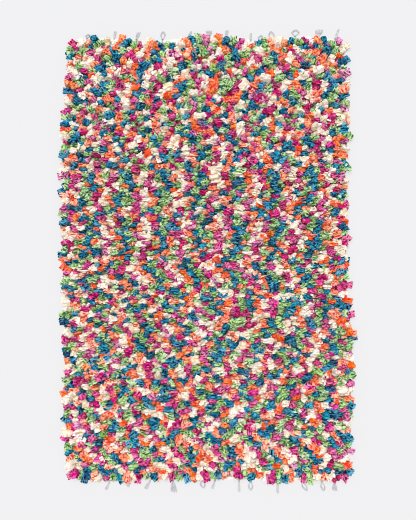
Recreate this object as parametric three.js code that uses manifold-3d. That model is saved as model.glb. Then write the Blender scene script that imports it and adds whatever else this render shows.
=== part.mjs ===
// A shaggy rag rug, lying flat. Short strips of cotton rag are knotted in rows on a woven ground, and the
// white warp ends come out of a narrow heading at both ends, knotted two or three together.
// Millimetres, +Z up, the head end towards +Y. The origin is on the floor, under the middle of the box
// that holds the pile and the warp ends.

import * as THREE from 'three';
import { mergeVertices } from 'three/addons/utils/BufferGeometryUtils.js';
import Module from 'manifold-3d';

const wasm = await Module();
wasm.setup();

// The pile between its mean edge lines. The foot's warp ends are the longer ones and the right edge
// bulges more, so the pile lies a little off the middle of the whole rug.
const PILE = { width: 1000, length: 1540, offsetX: -4, offsetY: 9 };

// One lump for each knotted tuft, in columns of this width. Crest and dip are heights over the floor.
// Where a rag lies across from one tuft to the next there is a bridge and no dip.
const LUMP = {
  column: 29,
  wander: 0.24,
  rowShift: 0.3,
  crestShift: 0.2,
  crestVary: 4,
  dip: 11,
  dipVary: 3,
  bridgeShare: 0.2,
  bridgeDrop: 4,
};

// The pile from foot to head: how far apart its rows are and how high the tufts stand.
const ZONES = [
  { at: 0, row: 27, crest: 25 },
  { at: 0.3, row: 26, crest: 25 },
  { at: 0.42, row: 21, crest: 22 },
  { at: 0.64, row: 21, crest: 22 },
  { at: 0.76, row: 29, crest: 27 },
  { at: 1, row: 30, crest: 28 },
];

// How far the long sides bulge outwards from their mean lines.
const SIDES = [
  { at: 0, left: -8, right: 0 },
  { at: 0.1, left: -7, right: 8 },
  { at: 0.2, left: 0, right: 15 },
  { at: 0.3, left: 0, right: 12 },
  { at: 0.4, left: 1, right: -2 },
  { at: 0.55, left: 5, right: -3 },
  { at: 0.7, left: 4, right: -8 },
  { at: 0.78, left: 7, right: 3 },
  { at: 0.87, left: -10, right: -4 },
  { at: 1, left: -11, right: -8 },
];

// The same for the two ends.
const ENDS = [
  { at: 0, foot: 0, head: -5 },
  { at: 0.12, foot: 7, head: 0 },
  { at: 0.3, foot: 1, head: -10 },
  { at: 0.52, foot: -1, head: 7 },
  { at: 0.71, foot: 2, head: -11 },
  { at: 0.86, foot: 4, head: 6 },
  { at: 1, foot: 10, head: -6 },
];

// Corner radii. The left foot corner is worn off most.
const CORNERS = { leftFoot: 78, rightFoot: 24, leftHead: 50, rightHead: 42 };

// Locks hang over the rim. They start at a wall that lies inside the mean edge lines; at the two ends
// they start above a sill, so that the heading fits under them.
const RIM = { setback: 9, height: 15, heightVary: 2, sill: 4.4 };
const LOCK = { reach: 8, reachVary: 8, tipWidth: 0.62, tipHeight: 9, heightVary: 1.5, drift: 4 };

// The woven heading and the warp strands, which lie on the floor in front of it. Columns are the pile's.
const HEADING = { depth: 10, thickness: 3, gap: 0.35, firstColumn: 2, lastColumn: 33 };
const STRAND = { width: 3.6, height: 3, root: 6, tip: 0.6, tailSteps: 4, loopSteps: 7 };
const KNOT = { foot: 4.2, top: 2.4, height: 3.6, sides: 6 };

// The knotted warp ends: the knot's place across the pile, how far the strands lie past the end line,
// how far their tips drift to the right, and how wide they part or loop.
const HEAD_ENDS = [
  { at: -416, form: loop, reach: 17, lean: 5, spread: 14 },
  { at: -320, form: tails, reach: 26, lean: 3, spread: 7 },
  { at: -244, form: tails, reach: 23, lean: 9, spread: 12 },
  { at: -152, form: loop, reach: 27, lean: 3, spread: 14 },
  { at: -62, form: tails, reach: 26, lean: 10, spread: 6 },
  { at: 14, form: tails, reach: 29, lean: -4, spread: 20 },
  { at: 70, form: tails, reach: 30, lean: 4, spread: 9 },
  { at: 156, form: tails, reach: 20, lean: 1, spread: 5 },
  { at: 188, form: loop, reach: 13, lean: 5, spread: 15 },
  { at: 231, form: loop, reach: 27, lean: -3, spread: 18 },
  { at: 311, form: loop, reach: 33, lean: 3, spread: 24 },
  { at: 392, form: tails, reach: 33, lean: 4, spread: 26 },
  { at: 450, form: tails, reach: 33, lean: 13, spread: 6 },
];
const FOOT_ENDS = [
  { at: -418, form: tails, reach: 17, lean: -3, spread: 8 },
  { at: -336, form: tails, reach: 37, lean: -13, spread: 7 },
  { at: -262, form: tails, reach: 28, lean: -11, spread: 6 },
  { at: -194, form: tails, reach: 35, lean: -16, spread: 10 },
  { at: -116, form: tails, reach: 47, lean: 4, spread: 20 },
  { at: -16, form: loop, reach: 33, lean: 8, spread: 15 },
  { at: 34, form: tails, reach: 34, lean: -12, spread: 6 },
  { at: 115, form: tails, reach: 44, lean: 1, spread: 6 },
  { at: 155, form: loop, reach: 41, lean: 2, spread: 14 },
  { at: 250, form: tails, reach: 50, lean: 1, spread: 6 },
  { at: 334, form: loop, reach: 42, lean: 18, spread: 15 },
  { at: 404, form: loop, reach: 42, lean: 8, spread: 13 },
  { at: 450, form: tails, reach: 42, lean: 0, spread: 16 },
];

// One seeded stream of chances, so that the rug comes out the same each time.
let seed = 20417;
function chance(low, high) {
  seed = (Math.imul(seed, 1664525) + 1013904223) >>> 0;
  return low + ((high - low) * seed) / 2 ** 32;
}

// A table's column at a place between two of its rows.
function readTable(table, place, column) {
  const next = Math.max(1, table.findIndex((row) => row.at >= place));
  const [from, to] = [table[next - 1], table[next]];
  const share = THREE.MathUtils.smoothstep(place, from.at, to.at);
  return THREE.MathUtils.lerp(from[column], to[column], share);
}

// A corner's arc, as a pull on a point: inX and inY are its distances from the two edges.
function roundOff(inX, inY, radius) {
  const x = radius - inX;
  const y = radius - inY;
  if (x <= 0 || y <= 0) return [0, 0];
  const pull = 1 - Math.max(x, y) / Math.hypot(x, y);
  return [x * pull, y * pull];
}

// A place on the pile seen from above, inside the wall's line; across and along run from 0 to 1.
function onPile(across, along) {
  const left = PILE.width / 2 + readTable(SIDES, along, 'left') - RIM.setback;
  const right = PILE.width / 2 + readTable(SIDES, along, 'right') - RIM.setback;
  const foot = PILE.length / 2 + readTable(ENDS, across, 'foot') - RIM.setback;
  const head = PILE.length / 2 + readTable(ENDS, across, 'head') - RIM.setback;
  const x = THREE.MathUtils.lerp(-left, right, across);
  const y = THREE.MathUtils.lerp(-foot, head, along);
  const corners = [
    { radius: CORNERS.leftFoot, inX: x + left, inY: y + foot, toX: 1, toY: 1 },
    { radius: CORNERS.rightFoot, inX: right - x, inY: y + foot, toX: -1, toY: 1 },
    { radius: CORNERS.leftHead, inX: x + left, inY: head - y, toX: 1, toY: -1 },
    { radius: CORNERS.rightHead, inX: right - x, inY: head - y, toX: -1, toY: -1 },
  ];
  const place = new THREE.Vector3(x, y, 0);
  for (const { radius, inX, inY, toX, toY } of corners) {
    const [pullX, pullY] = roundOff(inX, inY, radius);
    place.x += toX * pullX;
    place.y += toY * pullY;
  }
  return place;
}

// The places of the pile's row lines along the rug, from 0 at the foot to 1 at the head.
function rowLines() {
  const lines = [0];
  while (lines.at(-1) < 1) {
    const last = lines.at(-1);
    lines.push(last + readTable(ZONES, last, 'row') / PILE.length);
  }
  return lines.map((line) => line / lines.at(-1));
}

const ROWS = rowLines();
const COLUMNS = Math.round(PILE.width / LUMP.column);

// A mesh under construction: faces are added by their corners, anticlockwise seen from outside.
class Skin {
  constructor() {
    this.points = [];
    this.faces = [];
  }
  point(place, height) {
    this.points.push(place.x, place.y, height);
    return this.points.length / 3 - 1;
  }
  fan(...corners) {
    for (let i = 2; i < corners.length; i += 1) {
      this.faces.push(corners[0], corners[i - 1], corners[i]);
    }
  }
  geometry() {
    const shape = new THREE.BufferGeometry();
    shape.setAttribute('position', new THREE.Float32BufferAttribute(this.points, 3));
    shape.setIndex(this.faces);
    return shape;
  }
}

// The top of the pile: low corners between the tufts, and a crest in the middle of each four.
function layLumps(skin) {
  const onEdge = (column, row) =>
    column === 0 || column === COLUMNS || row === 0 || row === ROWS.length - 1;
  const corners = ROWS.map((along, row) => {
    const shift = chance(-1, 1) * LUMP.rowShift * LUMP.column;
    return Array.from({ length: COLUMNS + 1 }, (_, column) => {
      const place = onPile(column / COLUMNS, along);
      if (onEdge(column, row)) {
        return { place, top: skin.point(place, RIM.height + chance(-1, 1) * RIM.heightVary) };
      }
      place.x += shift + chance(-1, 1) * LUMP.wander * LUMP.column;
      place.y += chance(-1, 1) * LUMP.wander * readTable(ZONES, along, 'row');
      const bridge = readTable(ZONES, along, 'crest') - LUMP.bridgeDrop;
      const height = chance(0, 1) < LUMP.bridgeShare ? bridge : LUMP.dip;
      return { place, top: skin.point(place, height + chance(-1, 1) * LUMP.dipVary) };
    });
  });
  for (let row = 1; row < ROWS.length; row += 1) {
    const crest = readTable(ZONES, (ROWS[row - 1] + ROWS[row]) / 2, 'crest');
    for (let column = 1; column <= COLUMNS; column += 1) {
      const around = [
        corners[row - 1][column - 1],
        corners[row - 1][column],
        corners[row][column],
        corners[row][column - 1],
      ];
      const [footLeft, footRight, headRight, headLeft] = around.map(({ place }) => place);
      const across = 0.5 + chance(-1, 1) * LUMP.crestShift;
      const up = 0.5 + chance(-1, 1) * LUMP.crestShift;
      const middle = footLeft.clone().lerp(footRight, across);
      middle.lerp(headLeft.clone().lerp(headRight, across), up);
      const peak = skin.point(middle, crest + chance(-1, 1) * LUMP.crestVary);
      around.forEach((corner, i) => {
        skin.fan(corner.top, around[(i + 1) % around.length].top, peak);
      });
    }
  }
  return corners;
}

// The pile's edge, anticlockwise seen from above, with the two ends marked.
function edgeOf(corners) {
  const last = ROWS.length - 1;
  const foot = corners[0].slice(0, -1).map((corner) => ({ ...corner, atEnd: true }));
  const right = corners.slice(0, -1).map((row) => ({ ...row[COLUMNS], atEnd: false }));
  const head = corners[last].slice(1).reverse().map((corner) => ({ ...corner, atEnd: true }));
  const left = corners.slice(1).reverse().map((row) => ({ ...row[0], atEnd: false }));
  return [...foot, ...right, ...head, ...left];
}

// One lock from the wall between two edge points, with its underside level.
function hangLock(skin, from, to) {
  const run = new THREE.Vector3().subVectors(to.place, from.place);
  const out = new THREE.Vector3(run.y, -run.x, 0).normalize();
  const tip = from.place.clone().addScaledVector(run, 0.5);
  tip.addScaledVector(out, LOCK.reach + chance(0, LOCK.reachVary));
  tip.addScaledVector(run, chance(-1, 1) * (LOCK.drift / run.length()));
  const start = tip.clone().addScaledVector(run, -LOCK.tipWidth / 2);
  const end = tip.clone().addScaledVector(run, LOCK.tipWidth / 2);
  const underside = from.atEnd ? RIM.sill : 0;
  const topside = underside + LOCK.tipHeight + chance(-1, 1) * LOCK.heightVary;
  const [startLow, startHigh] = [skin.point(start, underside), skin.point(start, topside)];
  const [endLow, endHigh] = [skin.point(end, underside), skin.point(end, topside)];
  const [fromLow, toLow] = from.atEnd ? [from.sill, to.sill] : [from.floor, to.floor];
  skin.fan(startLow, endLow, endHigh, startHigh);
  skin.fan(startHigh, endHigh, to.top, from.top);
  skin.fan(fromLow, toLow, endLow, startLow);
  if (from.atEnd) {
    skin.fan(startHigh, from.top, from.sill, startLow);
    skin.fan(endHigh, endLow, to.sill, to.top);
    skin.fan(from.floor, to.floor, to.sill, from.sill);
  } else {
    skin.fan(startHigh, from.top, from.sill, from.floor, startLow);
    skin.fan(endHigh, endLow, to.floor, to.sill, to.top);
  }
}

// The whole pile: lumps on top, locks round the rim, and the flat back of the ground weave.
function makePile() {
  const skin = new Skin();
  const corners = layLumps(skin);
  const edge = edgeOf(corners).map((corner) => ({
    ...corner,
    sill: skin.point(corner.place, RIM.sill),
    floor: skin.point(corner.place, 0),
  }));
  edge.forEach((from, i) => hangLock(skin, from, edge[(i + 1) % edge.length]));
  const outline = edge.map(({ place }) => new THREE.Vector2(place.x, place.y));
  for (const [a, b, c] of THREE.ShapeUtils.triangulateShape(outline, [])) {
    skin.fan(edge[c].floor, edge[b].floor, edge[a].floor);
  }
  return skin.geometry();
}

// A strand that lies along a route, flat below and ridged above, thinner at a free end.
function lieStrand(route, tipShare) {
  const skin = new Skin();
  const rings = route.map((place, i) => {
    const before = route[Math.max(i - 1, 0)];
    const after = route[Math.min(i + 1, route.length - 1)];
    const run = new THREE.Vector3().subVectors(after, before).normalize();
    const half = (STRAND.width / 2) * (i === route.length - 1 ? tipShare : 1);
    const side = new THREE.Vector3(-run.y, run.x, 0).multiplyScalar(half);
    return [
      skin.point(place.clone().add(side), 0),
      skin.point(place.clone().sub(side), 0),
      skin.point(place, STRAND.height * (half / (STRAND.width / 2))),
    ];
  });
  skin.fan(...rings[0]);
  skin.fan(...rings.at(-1).slice().reverse());
  for (let i = 1; i < rings.length; i += 1) {
    const [a, b] = [rings[i - 1], rings[i]];
    a.forEach((corner, k) => {
      const next = (k + 1) % a.length;
      skin.fan(corner, b[k], b[next], a[next]);
    });
  }
  return skin.geometry();
}

// The routes of one knotted end, on a floor where y runs away from the heading.
function tails({ reach, lean, spread }) {
  return [-1, 1].map((side) => {
    const curve = new THREE.CatmullRomCurve3([
      new THREE.Vector3(side, -STRAND.root, 0),
      new THREE.Vector3(side + lean * 0.1, 0, 0),
      new THREE.Vector3(lean * 0.6 + side * spread * 0.42, reach * 0.55, 0),
      new THREE.Vector3(lean + (side * spread) / 2, side > 0 ? reach : reach * 0.86, 0),
    ]);
    return { route: curve.getSpacedPoints(STRAND.tailSteps), tipShare: STRAND.tip };
  });
}
function loop({ reach, lean, spread }) {
  const curve = new THREE.CatmullRomCurve3([
    new THREE.Vector3(-spread * 0.2, -STRAND.root, 0),
    new THREE.Vector3(-spread * 0.3, 0, 0),
    new THREE.Vector3(lean * 0.6 - spread / 2, reach * 0.6, 0),
    new THREE.Vector3(lean, reach - STRAND.width / 2, 0),
    new THREE.Vector3(lean * 0.6 + spread / 2, reach * 0.6, 0),
    new THREE.Vector3(spread * 0.3, 0, 0),
    new THREE.Vector3(spread * 0.2, -STRAND.root, 0),
  ]);
  return [{ route: curve.getSpacedPoints(STRAND.loopSteps), tipShare: 1 }];
}

function makeKnot(place) {
  const knot = new THREE.CylinderGeometry(KNOT.top, KNOT.foot, KNOT.height, KNOT.sides);
  return knot.rotateX(Math.PI / 2).translate(place.x, place.y, KNOT.height / 2);
}

// A closed mesh as a solid that can be joined, and back.
function solidOf(geometry) {
  const bare = geometry.clone();
  bare.deleteAttribute('normal');
  bare.deleteAttribute('uv');
  const merged = mergeVertices(bare, 1e-4);
  return new wasm.Manifold(
    new wasm.Mesh({
      numProp: 3,
      vertProperties: merged.attributes.position.array,
      triVerts: new Uint32Array(merged.index.array),
    }),
  );
}
function geometryOf(solid) {
  const { vertProperties, triVerts } = solid.getMesh();
  const shape = new THREE.BufferGeometry();
  shape.setAttribute('position', new THREE.Float32BufferAttribute(vertProperties, 3));
  shape.setIndex(new THREE.BufferAttribute(triVerts, 1));
  return shape;
}

// A heading strip with its knotted ends; facing is 1 at the head and -1 at the foot.
function makeFringe(knottedEnds, facing) {
  const along = facing > 0 ? 1 : 0;
  const wallAt = (across) => onPile(across, along);
  const inner = [];
  for (let column = HEADING.firstColumn; column <= HEADING.lastColumn; column += 1) {
    const wall = wallAt(column / COLUMNS);
    inner.push(new THREE.Vector2(wall.x, wall.y + facing * HEADING.gap));
  }
  const outer = inner.map(({ x, y }) => new THREE.Vector2(x, y + facing * HEADING.depth));
  const strip = new THREE.ExtrudeGeometry(new THREE.Shape([...inner, ...outer.reverse()]), {
    depth: HEADING.thickness,
    bevelEnabled: false,
  });
  let fringe = solidOf(strip);
  for (const end of knottedEnds) {
    const across = end.at / PILE.width + 0.5;
    const brink = wallAt(across);
    brink.y += facing * (HEADING.gap + HEADING.depth - 1);
    const past = facing * brink.y - PILE.length / 2;
    for (const { route, tipShare } of end.form({ ...end, reach: end.reach - past })) {
      const laid = route.map(
        ({ x, y }) => new THREE.Vector3(end.at + x, brink.y + facing * y, 0),
      );
      fringe = fringe.add(solidOf(lieStrand(laid, tipShare)));
    }
    fringe = fringe.add(solidOf(makeKnot(new THREE.Vector3(end.at, brink.y, 0))));
  }
  return geometryOf(fringe);
}

const ragCloth = new THREE.MeshStandardMaterial({ color: 0xa5866f, roughness: 0.95, metalness: 0 });
const warpCotton = new THREE.MeshStandardMaterial({ color: 0xf1ede4, roughness: 0.9, metalness: 0 });

function addPart(group, name, geometry, material) {
  const part = new THREE.Mesh(geometry, material);
  part.name = name;
  group.add(part);
}

const rug = new THREE.Group();
rug.position.set(PILE.offsetX, PILE.offsetY, 0);
addPart(rug, 'rag_pile', makePile(), ragCloth);
addPart(rug, 'head_fringe', makeFringe(HEAD_ENDS, 1), warpCotton);
addPart(rug, 'foot_fringe', makeFringe(FOOT_ENDS, -1), warpCotton);

export default rug;
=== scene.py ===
# A shaggy rag rug seen from straight above: cotton rags in five dyes, knotted in rows on a woven
# ground, with white warp ends knotted at both ends. Metres, the head end towards +Y.
import math
import random

import bpy
import numpy as np
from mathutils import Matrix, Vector
from mathutils.kdtree import KDTree


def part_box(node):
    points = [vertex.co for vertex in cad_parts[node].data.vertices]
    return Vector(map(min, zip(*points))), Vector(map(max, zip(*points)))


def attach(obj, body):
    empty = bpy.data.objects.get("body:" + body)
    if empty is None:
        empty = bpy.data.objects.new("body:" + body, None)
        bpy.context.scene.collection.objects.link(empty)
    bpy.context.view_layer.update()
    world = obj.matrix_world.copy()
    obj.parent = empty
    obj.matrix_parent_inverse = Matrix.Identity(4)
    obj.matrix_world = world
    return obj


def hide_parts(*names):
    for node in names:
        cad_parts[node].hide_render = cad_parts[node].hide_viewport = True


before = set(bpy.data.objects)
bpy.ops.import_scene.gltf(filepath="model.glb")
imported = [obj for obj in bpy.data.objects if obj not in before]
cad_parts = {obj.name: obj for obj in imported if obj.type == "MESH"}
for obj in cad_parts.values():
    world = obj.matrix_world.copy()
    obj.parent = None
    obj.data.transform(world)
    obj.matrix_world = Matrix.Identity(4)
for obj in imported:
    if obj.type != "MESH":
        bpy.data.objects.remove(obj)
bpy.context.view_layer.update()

SEED = 7
MM = 0.001
TINY = 1e-6


def as_table(columns, rows):
    """Rows of values as rows by column name."""
    return [dict(zip(columns, row)) for row in rows]



# A knotted rag is two bunches of crumpled cloth over its knot, mostly with a cut end that sticks out
# as a flap. Pairs of numbers are across the row and along the rug, or the least and the most.

# A bunch: the cap is the share of its cloth that stands up as a dome, with sides that fall a little
# past upright, and the rest is its skirt, which comes down on the ground and is painted towards its
# dye's crease colour, as shade between the rags. Square is how far its outline is drawn out to
# corners, and lobe and wander make it uneven.
BUNCH = {
    "half": (0.0097, 0.0104), "half_vary": (0.88, 1.12), "crown": (0.0140, 0.0200), "foot": 0.006,
    "cap": 0.78, "fall": math.radians(96), "bulge": 0.85, "shoulder": 0.2, "round": 0.7, "flatten": 1.14,
    "skirt": 0.42, "drop": 0.9, "square": 0.5, "square_from": 0.7, "lobe": 0.09, "lobe_pitch": 1.3,
    "wander": 0.0020, "lowest": 0.0005,
}
BUNCH_CELLS = (6, 8)
# Rows of a bunch's grid that lie in a crease, between the ridges of its pleats.
CREASE_ROWS = [(2, 4, 6), (3, 5), (2, 5), (3, 6), (3, 5, 7), (1, 3, 5), (4, 6), (2, 4), (4,), (3, 5)]
BUNCHES_PER_CREASES = 3
# Pleats in a bunch: the height of a fold, and in shares of it how deep the creases and how high the
# ridges are, and how deep one short notch across them is. Crumple is the unevenness besides, outward
# how far a fold stands out from the side, and side how much of its height it loses there.
PLEAT = {
    "fold": 0.0032, "crease": 1.4, "crease_vary": (0.5, 1.3), "ridge": 0.9, "ridge_vary": (0.3, 1.0),
    "notch": 1.3, "crumple": 0.0014, "outward": 0.45, "side": 0.5,
}
# The pair over one knot: how far apart they are, and how much they vary in place, turn, tilt and shade.
PAIR = {
    "apart": 0.0064, "apart_vary": (0.8, 1.2), "turn": 0.25, "spin": 0.3, "tilt": 0.12,
    "size": (0.75, 1.15), "shade": 0.06,
}

# A flap: slant is how far its cut is off square, bend how late it bends over, taper how strongly its
# point tells, open how soon it widens from its knot, root how deep its pleats are there, and shear how
# far it leans aside.
FLAP = {
    "width": 0.022, "thick": 0.0016, "gather": 0.005, "slant": 0.18, "off_point": 0.5, "bend": 1.3,
    "taper": 0.6, "open": 0.6, "pleat": 0.7, "pleat_vary": (0.4, 1), "root": 0.3, "shear": 0.25,
    "shade": 0.1,
}
FLAP_CELLS = (3, 6)
FLAP_STEPS = 40
FLAPS_PER_FORM = 6
FLAP_SHARE = {"field": 0.60, "rim": 0.68}
# The ways a flap lies. Reach is its length, angles are from upright, at the knot and at the tip, fold is
# how deep its pleats are, crumple how uneven it is, and point how far its cut tapers. Shares are in the
# field and at the rim.
FLAP_FORMS = {
    "ruffle": {"reach": 0.024, "root": (0, 15), "tip": (40, 80), "fold": 0.0034, "crumple": 0.0014,
               "spread": 0.85, "point": 0.1, "twist": 30, "field": 4, "rim": 1},
    "flop": {"reach": 0.027, "root": (5, 20), "tip": (90, 125), "fold": 0.0026, "crumple": 0.0014,
             "spread": 0.92, "point": 0.2, "twist": 20, "field": 4, "rim": 2},
    "fan": {"reach": 0.033, "root": (15, 35), "tip": (85, 110), "fold": 0.0040, "crumple": 0.0010,
            "spread": 1.10, "point": 0.0, "twist": 10, "field": 1, "rim": 5},
    "curl": {"reach": 0.030, "root": (0, 10), "tip": (150, 220), "fold": 0.0020, "crumple": 0.0010,
             "spread": 0.80, "point": 0.1, "twist": 20, "field": 1, "rim": 1},
    "tail": {"reach": 0.033, "root": (10, 30), "tip": (80, 105), "fold": 0.0016, "crumple": 0.0010,
             "spread": 0.70, "point": 0.75, "twist": 20, "field": 1, "rim": 1},
}

# Uneven forms are sums of waves: how many there are, and how short. Each starts anywhere in a turn.
WAVES = {"bunch": (6, 6), "lobe": (4, 2.4), "wander": (4, 3), "flap": (4, 4)}
WAVE_START = (0, 6.28)
# How much painted light a place on a rag gets, from 0, painted shade as in a crease, to 1, a lit
# crest: on a bunch, by how far a fold rises and how far down the side it is, with shade lower down
# and on its skirt, and on a flap, by its tip and its pleats, with shade near its knot.
PAINTED_LIGHT = {
    "bunch": 0.62, "rise": 0.5, "side": 0.25, "fall": 0.85,
    "flap": 0.55, "tip": 0.3, "pleat": 0.35,
}
# A fold bent further than this has a sharp edge.
SHARP_FOLD = math.radians(55)
# Rags that would stand higher than this are bent over, and none reaches the top level.
LOFT = {"free": 0.034, "top": 0.042}

# The rows from foot to head: how far apart they are, how far apart the knots stand in a row, how
# bulky the rags are, how far they are pressed flat along the rug, and how far their pleats turn out
# of the row.
ZONES = as_table(("at", "row", "knot", "bulk", "press", "turn"), [
    (0.00, 0.0190, 0.0271, 1.00, 0.85, 0.45),
    (0.15, 0.0202, 0.0278, 1.05, 0.85, 0.45),
    (0.35, 0.0171, 0.0265, 0.97, 0.77, 0.28),
    (0.65, 0.0168, 0.0257, 0.95, 0.75, 0.28),
    (0.80, 0.0194, 0.0264, 1.00, 0.87, 0.50),
    (1.00, 0.0214, 0.0285, 1.08, 0.95, 0.75),
])
# Knots in the rows: how far inside the pile's reach they end, how far each is off its place in shares
# of the knot's and the row's pitch, how far it leans by itself and with its row, and how big it is.
# A few hold a bigger rag.
FIELD = {
    "inset": 0.040, "shift": (0.06, 0.12), "pitch_vary": (0.95, 1.05), "lean": 0.14, "row_lean": 0.2,
    "size": (0.85, 1.15), "big_share": 0.07, "big": 1.25, "flap_turn": 0.9,
}
# Knots round the rim, whose rags lean out over the ground's edge.
RIM = {
    "inset": 0.0246, "pitch": 0.023, "shift": 0.003, "lean": (0.2, 0.4), "turn": 0.8,
    "size": (0.88, 1.12), "flap_turn": 0.45,
}
# Smaller knots in the gaps: how far from every other knot a place may be before it needs one, across
# and along the rug, how finely such places are looked for, and how near they stand to each other.
GAP = {
    "across": 0.0176, "along": 0.0138, "step": 0.005, "apart": 0.9, "turn": 0.4, "lean": 0.1,
    "size": (0.65, 0.9),
}

# The dyes, in the order in which they follow each other along a row: the colours of their darkest to
# their palest rags, and a darker colour painted into their creases as shade.
DYES = {
    "teal": {"rags": [(0, 98, 140), (0, 138, 180), (26, 154, 192), (80, 174, 208)],
             "crease": (0, 16, 38)},
    "orange": {"rags": [(255, 108, 50), (255, 150, 98), (255, 180, 144), (255, 212, 192)],
               "crease": (202, 50, 22)},
    "cream": {"rags": [(240, 226, 199), (244, 236, 224), (246, 241, 238), (246, 234, 224)],
              "crease": (218, 196, 162)},
    "magenta": {"rags": [(212, 28, 118), (234, 64, 150), (235, 108, 172), (236, 162, 206)],
                "crease": (104, 0, 46)},
    "green": {"rags": [(146, 184, 110), (178, 216, 142), (192, 226, 162), (200, 228, 180)],
              "crease": (46, 86, 46)},
}
DYE_ORDER = list(DYES)
# The two weights that scatter the rags' shades between darkest and palest.
RAG_SHADE = (2.0, 2.0)
# How often a row's dyes run the other way than the last one's, how far they start from it where they
# run the same way, and how often a knot breaks a row's order.
ROW_TURNS = 0.5
ROW_STEPS = (-2, -1, 1, 2, -2, -1, 1, 2, 0)
ORDER_SLIPS = 0.03
# How often a knot has any dye at all, and how often each is then taken.
ODD_RAGS = 0.06
ODD_SHARES = {"teal": 2, "orange": 1, "cream": 4, "magenta": 3, "green": 1}

# Each rag's cloth is a piece of its own for the patterns on it: how far apart they lie, and how many
# lie side by side. A rag's cell of the map has a margin.
CLOTH = {"apart": 0.1, "in_row": 50}
MAP_MARGIN = 0.05

# The crumple of the cotton: ridges that wander over each rag, longest along its pleats, as a bump, with
# painted shade in the creases between them and a painted highlight on them. Stretch is in the rag's own
# directions. Between its creases and its ridges the height that sets this painted light goes from dip to
# ridge, and is then less in the valleys of the folds than on their crests, as painted shade in the valleys.
CRUMPLE = {
    "pitch": 0.0105, "stretch": (0.60, 1.35, 1.0), "detail": 3.0, "depth": 0.0016,
    "creases": 0.25, "ridges": 1.35, "dip": -0.14, "ridge": 1.33, "valley": 0.34, "crest": 1.15,
}
# From what height to what height the painted shade of the creases gives way to the dye, and the dye to
# a whitish painted highlight on the ridges, and how far.
PAINTED_SHADE_RANGE = (0.05, 0.85, 0, 1)
PAINTED_HIGHLIGHT = (0.8, 1.35, 0, 0.14)
# The whitish colour of the painted highlight on the ridges.
PAINTED_HIGHLIGHT_COLOUR = (1.0, 0.97, 0.93, 1.0)
# How the dye fades and turns in hue from one rag to the next: over what distance on the cloth, and
# between what values of each. Plain noise lies mostly in its range.
FADE = {
    "Saturation": {"pitch": 0.16, "span": (1.12, 0.87)},
    "Hue": {"pitch": 0.13, "span": (0.486, 0.514)},
}
NOISE_RANGE = (0.32, 0.68)
# The cotton's nap, its dull shine, and the white cotton's weave with its darker yarns. The ground's
# cotton, the same weave as the heading's, is painted darker, as shade under the rags.
NAP = {"scale": 700.0, "detail": 3.0, "strength": 0.35, "depth": 0.0008}
SHINE = {"specular": 0.12, "sheen_roughness": 0.5}
WEAVE = {"darker": 0.94, "strength": 0.5, "depth": 0.0008}
WHITES = {
    "ground": {"colour": (178, 168, 152), "pitch": 0.006},
    "heading": {"colour": (236, 232, 226), "pitch": 0.003},
    "warp_ends": {"colour": (202, 201, 206), "pitch": 0.0016},
}

# The ground weave. Rags stand in it, at a share of its thickness.
GROUND = {"thick": 0.003, "inset": 0.013, "cell": 0.030, "rest": 0.7}

# How the outline is read from the solids: at how many places, and how far round each.
READ = {"along": 60, "across": 40, "heading": 30, "heading_end": 0.01, "heading_band": 0.02}
# The rim's path is looked for in so many directions, between near and far, by so many halvings.
RING = {"steps": 720, "near": 0.3, "far": 1.0, "halvings": 24}

# The heading and the knotted warp ends, in millimetres: where each knot is across the pile, how far
# its strands lie past the mean end line, how far their tips drift to the right, and how wide they
# part or loop.
PILE_MM = {"length": 1540, "middle_x": -4, "middle_y": 9}
HEADING = {"depth": 10, "brink": 9, "knot": 5, "thick": 2.4, "level": 1.5, "from": -430, "to": 452}
HEADING_CELLS = (3, 90)
END_COLUMNS = ("at", "form", "reach", "lean", "spread")
HEAD_ENDS = as_table(END_COLUMNS, [
    (-416, "loop", 17, 5, 14),
    (-320, "tails", 26, 3, 7),
    (-244, "tails", 23, 9, 12),
    (-152, "loop", 27, 3, 14),
    (-62, "tails", 26, 10, 6),
    (14, "tails", 29, -4, 20),
    (70, "tails", 30, 4, 9),
    (156, "tails", 20, 1, 5),
    (188, "loop", 13, 5, 15),
    (231, "loop", 27, -3, 18),
    (311, "loop", 33, 3, 24),
    (392, "tails", 33, 4, 26),
    (450, "tails", 33, 13, 6),
])
FOOT_ENDS = as_table(END_COLUMNS, [
    (-418, "tails", 17, -3, 8),
    (-336, "tails", 37, -13, 7),
    (-262, "tails", 28, -11, 6),
    (-194, "tails", 35, -16, 10),
    (-116, "tails", 47, 4, 20),
    (-16, "loop", 33, 8, 15),
    (34, "tails", 34, -12, 6),
    (115, "tails", 44, 1, 6),
    (155, "loop", 41, 2, 14),
    (250, "tails", 50, 1, 6),
    (334, "loop", 42, 18, 15),
    (404, "loop", 42, 8, 13),
    (450, "tails", 42, 0, 16),
])
# A tail's yarns: the side that each takes and its share of the length. Root and knot are half the
# tail's width there, and part is how far the yarns have parted at part_at. A loop's yarns lie one
# inside the other, each wider and longer by so much.
ROOT = {"back": -6, "knot_lean": 0.15, "middle_lean": 0.6}
TAILS = {
    "yarns": ((-1, 0.86), (-0.6, 0.97), (-0.2, 0.92), (0.2, 1.0), (0.6, 0.90), (1, 0.98)),
    "root": 1.8, "knot": 1.2, "part": 0.40, "part_at": 0.55, "steps": 26,
}
LOOPS = {"yarns": ((2, 0), (-3, -3.5)), "root": 1.6, "knot": 1.4, "wide_at": 0.6, "crown": 1.8, "steps": 50}
YARN = {"ply": 0.0011, "plies": 2, "apart": 0.0010, "turns": 0.0100}
# The turns of yarn round each knot.
WRAP = {
    "round": 0.0026, "thick": 0.0013, "faces": (14, 7), "level": 0.0041, "tilts": (-0.5, 0.5),
    "turn": 0.4,
}

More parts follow.
